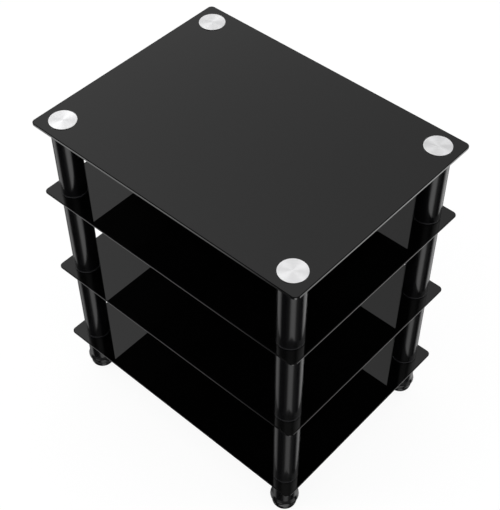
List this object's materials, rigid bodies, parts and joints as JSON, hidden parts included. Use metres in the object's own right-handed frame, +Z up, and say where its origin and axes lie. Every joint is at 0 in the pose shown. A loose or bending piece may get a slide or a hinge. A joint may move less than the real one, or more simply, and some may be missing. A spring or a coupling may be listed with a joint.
{
  "type": "audio equipment rack",
  "caption": "Free-standing rack of black glass shelves stacked on round black posts, with brushed cap discs above and screw-adjusted levelling feet below.",
  "frame": {"origin": "on the floor, under the middle of the rack, with the feet screwed fully in", "axes": "+Z up, +X to the right seen from the front, -Y towards the front"},
  "size_m": [0.6, 0.455, 0.6815],
  "materials": {
    "black_glass": "black tempered glass, polished faces and edges, opaque",
    "gloss_black_tube": "gloss black powder coat on steel tube",
    "brushed_disc": "spun-brushed satin disc",
    "plug_plastic": "satin moulded plastic",
    "zinc_stud": "bright zinc plate",
    "brass_insert": "turned brass",
    "gasket_rubber": "matt rubber",
    "foot_plastic": "glossy black moulded plastic",
    "pad_rubber": "matt black rubber"
  },
  "bodies": {
    "rack": {"top_glass": "black_glass", "upper_shelf_glass": "black_glass", "middle_shelf_glass": "black_glass", "bottom_shelf_glass": "black_glass", "upper_post_front_left": "gloss_black_tube", "upper_post_front_right": "gloss_black_tube", "upper_post_rear_left": "gloss_black_tube", "upper_post_rear_right": "gloss_black_tube", "middle_post_front_left": "gloss_black_tube", "middle_post_front_right": "gloss_black_tube", "middle_post_rear_left": "gloss_black_tube", "middle_post_rear_right": "gloss_black_tube", "lower_post_front_left": "gloss_black_tube", "lower_post_front_right": "gloss_black_tube", "lower_post_rear_left": "gloss_black_tube", "lower_post_rear_right": "gloss_black_tube", "leg_front_left": "gloss_black_tube", "leg_front_right": "gloss_black_tube", "leg_rear_left": "gloss_black_tube", "leg_rear_right": "gloss_black_tube", "cap_disc_front_left": "brushed_disc", "cap_disc_front_right": "brushed_disc", "cap_disc_rear_left": "brushed_disc", "cap_disc_rear_right": "brushed_disc", "upper_tier_end_plugs": "plug_plastic", "middle_tier_end_plugs": "plug_plastic", "lower_tier_end_plugs": "plug_plastic", "leg_top_plugs": "plug_plastic", "upper_shelf_joint_studs": "zinc_stud", "middle_shelf_joint_studs": "zinc_stud", "bottom_shelf_joint_studs": "zinc_stud", "top_glass_gaskets": "gasket_rubber", "upper_shelf_gaskets": "gasket_rubber", "middle_shelf_gaskets": "gasket_rubber", "bottom_shelf_gaskets": "gasket_rubber", "foot_socket_front_left": "foot_plastic", "foot_socket_front_right": "foot_plastic", "foot_socket_rear_left": "foot_plastic", "foot_socket_rear_right": "foot_plastic", "foot_inserts": "brass_insert"},
    "sole_front_left": {"foot_pad_front_left": "pad_rubber"},
    "screw_foot_front_left": {"foot_cup_front_left": "foot_plastic", "foot_screw_front_left": "zinc_stud"},
    "sole_front_right": {"foot_pad_front_right": "pad_rubber"},
    "screw_foot_front_right": {"foot_cup_front_right": "foot_plastic", "foot_screw_front_right": "zinc_stud"},
    "sole_rear_left": {"foot_pad_rear_left": "pad_rubber"},
    "screw_foot_rear_left": {"foot_cup_rear_left": "foot_plastic", "foot_screw_rear_left": "zinc_stud"},
    "sole_rear_right": {"foot_pad_rear_right": "pad_rubber"},
    "screw_foot_rear_right": {"foot_cup_rear_right": "foot_plastic", "foot_screw_rear_right": "zinc_stud"}
  },
  "joints": [
    {"name": "foot_drop_front_left", "type": "slide", "parent": "rack", "child": "sole_front_left", "axis": [0, 0, -1], "range_m": [0, 0.0075]},
    {"name": "foot_turn_front_left", "type": "hinge", "parent": "sole_front_left", "child": "screw_foot_front_left", "pos_m": [-0.26, -0.1875, 0.0095], "axis": [0, 0, -1], "range_deg": [0, 2160]},
    {"name": "foot_drop_front_right", "type": "slide", "parent": "rack", "child": "sole_front_right", "axis": [0, 0, -1], "range_m": [0, 0.0075]},
    {"name": "foot_turn_front_right", "type": "hinge", "parent": "sole_front_right", "child": "screw_foot_front_right", "pos_m": [0.26, -0.1875, 0.0095], "axis": [0, 0, -1], "range_deg": [0, 2160]},
    {"name": "foot_drop_rear_left", "type": "slide", "parent": "rack", "child": "sole_rear_left", "axis": [0, 0, -1], "range_m": [0, 0.0075]},
    {"name": "foot_turn_rear_left", "type": "hinge", "parent": "sole_rear_left", "child": "screw_foot_rear_left", "pos_m": [-0.26, 0.1875, 0.0095], "axis": [0, 0, -1], "range_deg": [0, 2160]},
    {"name": "foot_drop_rear_right", "type": "slide", "parent": "rack", "child": "sole_rear_right", "axis": [0, 0, -1], "range_m": [0, 0.0075]},
    {"name": "foot_turn_rear_right", "type": "hinge", "parent": "sole_rear_right", "child": "screw_foot_rear_right", "pos_m": [0.26, 0.1875, 0.0095], "axis": [0, 0, -1], "range_deg": [0, 2160]}
  ],
  "couplings": [
    {"joint": "foot_drop_front_left", "follows": "foot_turn_front_left", "m_per_rad": 0.00019894},
    {"joint": "foot_drop_front_right", "follows": "foot_turn_front_right", "m_per_rad": 0.00019894},
    {"joint": "foot_drop_rear_left", "follows": "foot_turn_rear_left", "m_per_rad": 0.00019894},
    {"joint": "foot_drop_rear_right", "follows": "foot_turn_rear_right", "m_per_rad": 0.00019894}
  ]
}
